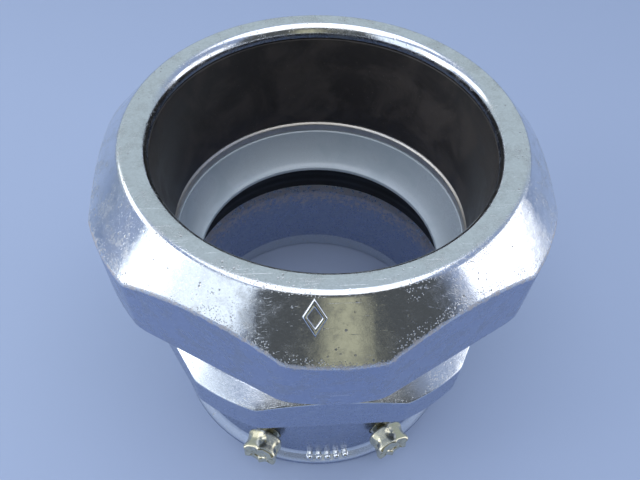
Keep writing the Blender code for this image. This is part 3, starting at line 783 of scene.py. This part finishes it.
# A row of small raised pips on the lip, between the screws.
def buildPips():
    b = couplingBody
    bm = bmesh.new()
    for i in range(b["pips"]):
        angle = math.radians(b["pipFirst"] + b["pipStep"] * i)
        pip = bmesh.ops.create_icosphere(bm, subdivisions=3, radius=1.0)["verts"]
        bmesh.ops.scale(bm, vec=[size * mm for size in b["pipSize"]], verts=pip)
        bmesh.ops.translate(bm, vec=(0, -b["pipRadius"] * mm, b["pipHeight"] * mm), verts=pip)
        bmesh.ops.rotate(bm, matrix=Matrix.Rotation(angle, 3, "Z"), verts=pip)
    mesh = bpy.data.meshes.new("lip_pips")
    bm.to_mesh(mesh)
    bm.free()
    mesh.shade_smooth()
    addPiece("lip_pips", mesh, bpy.data.materials["bodyZinc"], "body", "body_zinc")


buildCouplingBody()
buildPips()


# Spigot thread, a right-hand helix of 2 mm pitch

spigotThread = {"root": 33.0, "crest": 33.9, "pitch": 2.0, "low": 40.2, "high": 59.4,
                "stepsPerTurn": 96, "sink": 0.25}


def buildThread():
    t = spigotThread
    turns = (t["high"] - t["low"]) / t["pitch"]
    steps = int(turns * t["stepsPerTurn"])
    depth = t["crest"] - t["root"]
    profile = [(-0.98, -t["sink"]), (-0.92, 0.0), (-0.26, 0.86), (-0.12, 0.98), (0.12, 0.98),
               (0.26, 0.86), (0.92, 0.0), (0.98, -t["sink"])]
    bm = bmesh.new()
    edgeLayer = bm.verts.layers.float.new("edge")
    rings = []
    for i in range(steps + 1):
        angle = 2 * math.pi * i / t["stepsPerTurn"]
        height = t["low"] + t["pitch"] * i / t["stepsPerTurn"]
        fromEnd = min(i, steps - i) / (t["stepsPerTurn"] * 0.6)
        grow = min(1.0, max(0.02, fromEnd))
        ring = []
        for along, out in profile:
            lift = out * depth * grow if out > 0 else out
            radius = t["root"] + lift
            z = height + along * t["pitch"] / 2 * (0.3 + 0.7 * grow)
            vert = bm.verts.new((radius * math.cos(angle) * mm, radius * math.sin(angle) * mm,
                                 z * mm))
            vert[edgeLayer] = 0.6 if out > 0.9 else 0.0
            ring.append(vert)
        rings.append(ring)
    for a, b in zip(rings, rings[1:]):
        for j in range(len(a)):
            bm.faces.new((a[j - 1], b[j - 1], b[j], a[j]))
    bm.faces.new(rings[0])
    bm.faces.new(rings[-1][::-1])
    bmesh.ops.recalc_face_normals(bm, faces=bm.faces)
    mesh = bpy.data.meshes.new("spigot_thread")
    bm.to_mesh(mesh)
    bm.free()
    mesh.shade_smooth()
    addPiece("spigot_thread", mesh, bpy.data.materials["bodyZinc"], "body", "body_zinc")
    print("thread made,", len(mesh.polygons), "faces")


buildThread()


# Packing, bush, ring, seal

packing = {
    "footBore": 28.1, "topBore": 29.0, "outer": 30.3, "headOuter": 32.2, "neckOuter": 30.1,
    "headFoot": 60.8, "headTop": 65.1, "mouthRise": 3.5, "mouthOuter": 31.6, "longestStep": 1.2,
    "finish": {
        "Base": (0.028, 0.024, 0.022, 1), "Variation": (0.056, 0.047, 0.042, 1),
        "Dust": (0.30, 0.27, 0.23, 1), "Dust Amount": 0.16, "Low Roughness": 0.32,
        "High Roughness": 0.48, "Grain Depth": 0.006, "Mould Lines": 0.6,
    },
}


def buildPacking():
    p = packing
    low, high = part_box("packing")
    foot, top = low.z / mm, high.z / mm
    outline = [
        (p["neckOuter"], top, 0.2, 0), (p["neckOuter"], p["headTop"], 0.1, 0),
        (p["headOuter"], p["headTop"], 0.3, 0), (p["headOuter"], p["headFoot"], 0.3, 0),
        (p["mouthOuter"], p["headFoot"], 0.1, 0), (p["outer"], 60.5 - p["mouthRise"], 0.3, 0),
        (p["outer"], foot, 0.3, 0), (p["footBore"], foot, 0.4, 0),
        (p["footBore"] + 0.1, foot + 4.0, 0.8, 0), (p["topBore"], p["headFoot"], 0.8, 0),
        (p["topBore"], top, 0.25, 0),
    ]
    section = shortSteps(easeCorners(outline), p["longestStep"])
    mesh = sweepSections("packing_sleeve", lambda azimuth: section, evenAzimuths(180))
    material = mouldedPlastic("packingRubber", p["finish"])
    sleeve = addPiece("packing_sleeve", mesh, material, None, "packing_rubber", "packing")
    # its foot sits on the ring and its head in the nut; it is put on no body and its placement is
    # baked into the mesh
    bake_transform(sleeve)


throatBush = {
    "mouth": 28.0, "throat": 24.6, "wall": 1.1, "flangeOuter": 30.3, "flange": 1.0,
    "finish": {
        "Base": (0.64, 0.71, 0.76, 1), "Variation": (0.57, 0.65, 0.70, 1),
        "Dust": (0.34, 0.34, 0.32, 1), "Dust Amount": 0.10, "Low Roughness": 0.26,
        "High Roughness": 0.36, "Grain Depth": 0.003, "Mould Lines": 0.4,
    },
}


def buildBush():
    t = throatBush
    low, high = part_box("throat_bush")
    foot, top = low.z / mm, high.z / mm
    across, tall = t["mouth"] - t["throat"], top - foot - t["wall"]
    center = (t["throat"], top)
    outline = [(t["flangeOuter"], top, 0.15, 0), (t["flangeOuter"], top - t["flange"], 0.1, 0)]
    outline += curvePoints(center, (across + t["wall"], tall + t["wall"]), -7.0, -78, 12)
    lipCrest = foot + t["wall"]
    outline += [(t["throat"] + 0.3, foot, 0.1, 0), (t["throat"], foot + 0.3, 0.1, 0),
                (t["throat"], lipCrest - 0.02, 0.5, 0)]
    outline += curvePoints(center, (across, tall), -82, 0, 24)
    section = easeCorners(outline)
    mesh = sweepSections("throat_bush_funnel", lambda azimuth: section, evenAzimuths(180))
    material = mouldedPlastic("bushNylon", t["finish"])
    material.node_tree.nodes["Principled BSDF"].inputs["Coat Weight"].default_value = 0.3
    addPiece("throat_bush_funnel", mesh, material, "body", "bush_nylon", "throat_bush")


seatRing = {
    "bore": 28.0, "outer": 30.3, "bevel": 0.45,
    "finish": {
        "Plating": (0.78, 0.73, 0.66, 1), "Upright Painted Reflection": (0.78, 0.73, 0.66, 1),
        "Clouding": (0.62, 0.56, 0.48, 1),
        "Wear And Painted Glint": (0.80, 0.72, 0.62, 1), "Cloud Amount": 0.3, "Pit Amount": 0.1,
        "Scratch Amount": 0.2, "Lathe Marks": 0.2, "Wear": 0.6, "Ripple": 0.0,
        "Gloss Roughness": 0.36, "Dull Roughness": 0.46,
    },
}


def buildRing():
    r = seatRing
    low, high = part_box("seat_ring")
    foot, top = low.z / mm, high.z / mm
    outline = [(r["outer"], top, 0.15, 0.3), (r["outer"], foot, 0.15, 0.3),
               (r["bore"], foot, 0.15, 0.3), (r["bore"], top - r["bevel"], 0.15, 0.3),
               (r["bore"] + r["bevel"], top, 0.15, 0.3)]
    section = easeCorners(outline)
    mesh = sweepSections("seat_ring_band", lambda azimuth: section, evenAzimuths(180))
    addPiece("seat_ring_band", mesh, platedSteel("ringSteel", r["finish"]), "body", "ring_steel",
             "seat_ring")


socketSeal = {
    "bore": 28.1, "outer": 29.5, "ease": 0.4, "ribs": 3, "ribDepth": 0.12,
    "finish": {
        "Base": (0.012, 0.012, 0.013, 1), "Variation": (0.02, 0.019, 0.019, 1),
        "Dust": (0.25, 0.24, 0.22, 1), "Dust Amount": 0.1, "Low Roughness": 0.5,
        "High Roughness": 0.65, "Grain Depth": 0.01, "Mould Lines": 0.5,
    },
}


def buildSeal():
    s = socketSeal
    low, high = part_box("socket_seal")
    foot, top = low.z / mm, high.z / mm
    outline = [(s["outer"], top, 0.15, 0), (s["outer"], foot, 0.15, 0),
               (s["bore"] + s["ease"], foot, 0.1, 0), (s["bore"], foot + s["ease"], 0.1, 0)]
    inner = top - foot - 2 * s["ease"] - 0.8
    for i in range(1, 24):
        share = i / 24
        dip = s["ribDepth"] * math.sin(math.pi * s["ribs"] * share) ** 2
        outline.append((s["bore"] + dip, foot + s["ease"] + 0.4 + inner * share, 0, 0))
    outline += [(s["bore"], top - s["ease"], 0.1, 0), (s["bore"] + s["ease"], top, 0.1, 0)]
    section = easeCorners(outline)
    mesh = sweepSections("socket_seal_ring", lambda azimuth: section, evenAzimuths(120))
    addPiece("socket_seal_ring", mesh, mouldedPlastic("sealRubber", s["finish"]), "body",
             "seal_rubber", "socket_seal")


buildPacking()
buildBush()
buildRing()
buildSeal()
nodes["thrust_washer"].data.materials.clear()
nodes["thrust_washer"].data.materials.append(platedSteel("washerSteel", seatRing["finish"]))
print("packing, bush, ring and seal made")


# Set screws with break-off heads

setScrew = {
    "angle": 22.5, "height": 11.0, "shank": 2.5, "neck": 1.7, "tip": 28.6, "seat": 32.1,
    "headLength": 4.5, "apothem": 3.45, "corner": 3.95, "soften": 0.4, "crown": 0.5,
    "dish": 0.8, "dishRadius": 1.7, "knob": 0.72, "waist": 0.5,
    "neckTop": 0.75, "neckFoot": 0.3, "threadTop": 1.1, "threadPitch": 0.5, "threadDepth": 0.35,
    "threadTurns": 5, "tipTaper": 0.45,
    "finish": {
        "Plating": (0.66, 0.62, 0.46, 1), "Upright Painted Reflection": (0.5, 0.47, 0.4, 1),
        "Clouding": (0.40, 0.36, 0.26, 1),
        # The near-white worn colour is partly wear and partly a painted glint on the head corners.
        "Wear And Painted Glint": (0.98, 0.90, 0.76, 1), "Cloud Amount": 0.4, "Pit Amount": 0.3,
        "Scratch Amount": 0.3, "Lathe Marks": 0.2, "Wear": 0.7, "Ripple": 0.02,
        "Gloss Roughness": 0.16, "Dull Roughness": 0.32,
    },
}


def buildScrew(label, side, material):
    s = setScrew
    turnToWall = (Matrix.Translation((0, 0, s["height"] * mm))
                  @ Matrix.Rotation(math.radians(side * s["angle"]), 4, "Z")
                  @ Matrix.Rotation(math.pi / 2, 4, "X"))
    seat, headTop = s["seat"], s["seat"] + s["headLength"]

    def headSection(azimuth):
        off = (math.degrees(azimuth) + 30) % 60 - 30
        flat = s["apothem"] / math.cos(math.radians(off))
        overlap = max(s["soften"] - abs(flat - s["corner"]), 0) / s["soften"]
        end = min(flat, s["corner"]) - overlap ** 2 * s["soften"] / 4
        rise = max(0.0, (abs(off) - 12) / 18) ** 1.5
        rim = headTop - s["crown"] * (1 - rise)
        knob = s["knob"] * (0.5 + 0.5 * rise)
        low, high = seat + knob, rim - knob
        outline = [(0.0, seat, 0, 0), (0.0, headTop - s["crown"] - s["dish"], 0, 0),
                   (s["dishRadius"] - 0.8, headTop - s["crown"] - s["dish"], 0.4, 0),
                   (s["dishRadius"], rim - knob, 0.2, 0)]
        outline += curvePoints((s["dishRadius"] + knob, rim - knob), (knob, knob), 180, 90, 5)
        outline += curvePoints((end - knob, high), (knob, knob), 90, 0, 6)
        for i in range(1, 12):
            waist = s["waist"] * (0.3 + 0.7 * rise) * math.sin(math.pi * i / 12) ** 2
            outline.append((end - waist, high + (low - high) * i / 12, 0, 0))
        outline += curvePoints((end - knob, low), (knob, knob), 0, -90, 6)
        # The corner knobs carry the edge mask, so the worn colour paints glints on them.
        return [(r, z, rise if r > end - s["waist"] and not low + 0.5 < z < high - 0.5 else 0.0)
                for r, z, e in easeCorners(outline, 4)]

    mesh = sweepSections(label + "_set_screw_head", headSection, evenAzimuths(144))
    mesh.transform(turnToWall)
    addPiece(label + "_set_screw_head", mesh, material, label + "_head", "screw_yellow_zinc",
             label + "_screw_head")

    neckTop, threadTop = seat + s["neckTop"], seat - s["threadTop"]
    outline = [(0.0, neckTop, 0, 0), (s["neck"], neckTop, 0.1, 0),
               (s["neck"], seat - s["neckFoot"], 0.15, 0), (s["shank"], threadTop, 0.1, 0.2)]
    for i in range(s["threadTurns"]):
        top = threadTop - i * s["threadPitch"]
        outline += [(s["shank"], top - 0.06, 0, 0),
                    (s["shank"] - s["threadDepth"], top - 0.25, 0, 0),
                    (s["shank"], top - 0.44, 0, 0)]
    outline += [(s["shank"] - s["tipTaper"], s["tip"], 0.1, 0.2), (0.0, s["tip"], 0, 0)]
    section = easeCorners(outline, 3)
    mesh = sweepSections(label + "_set_screw_shank", lambda azimuth: section, evenAzimuths(48))
    mesh.transform(turnToWall)
    addPiece(label + "_set_screw_shank", mesh, material, label + "_shank", "screw_yellow_zinc",
             label + "_screw_shank")


screwMaterial = platedSteel("screwYellowZinc", setScrew["finish"])
for label, side in (("left", -1), ("right", 1)):
    buildScrew(label, side, screwMaterial)
print("set screws made")
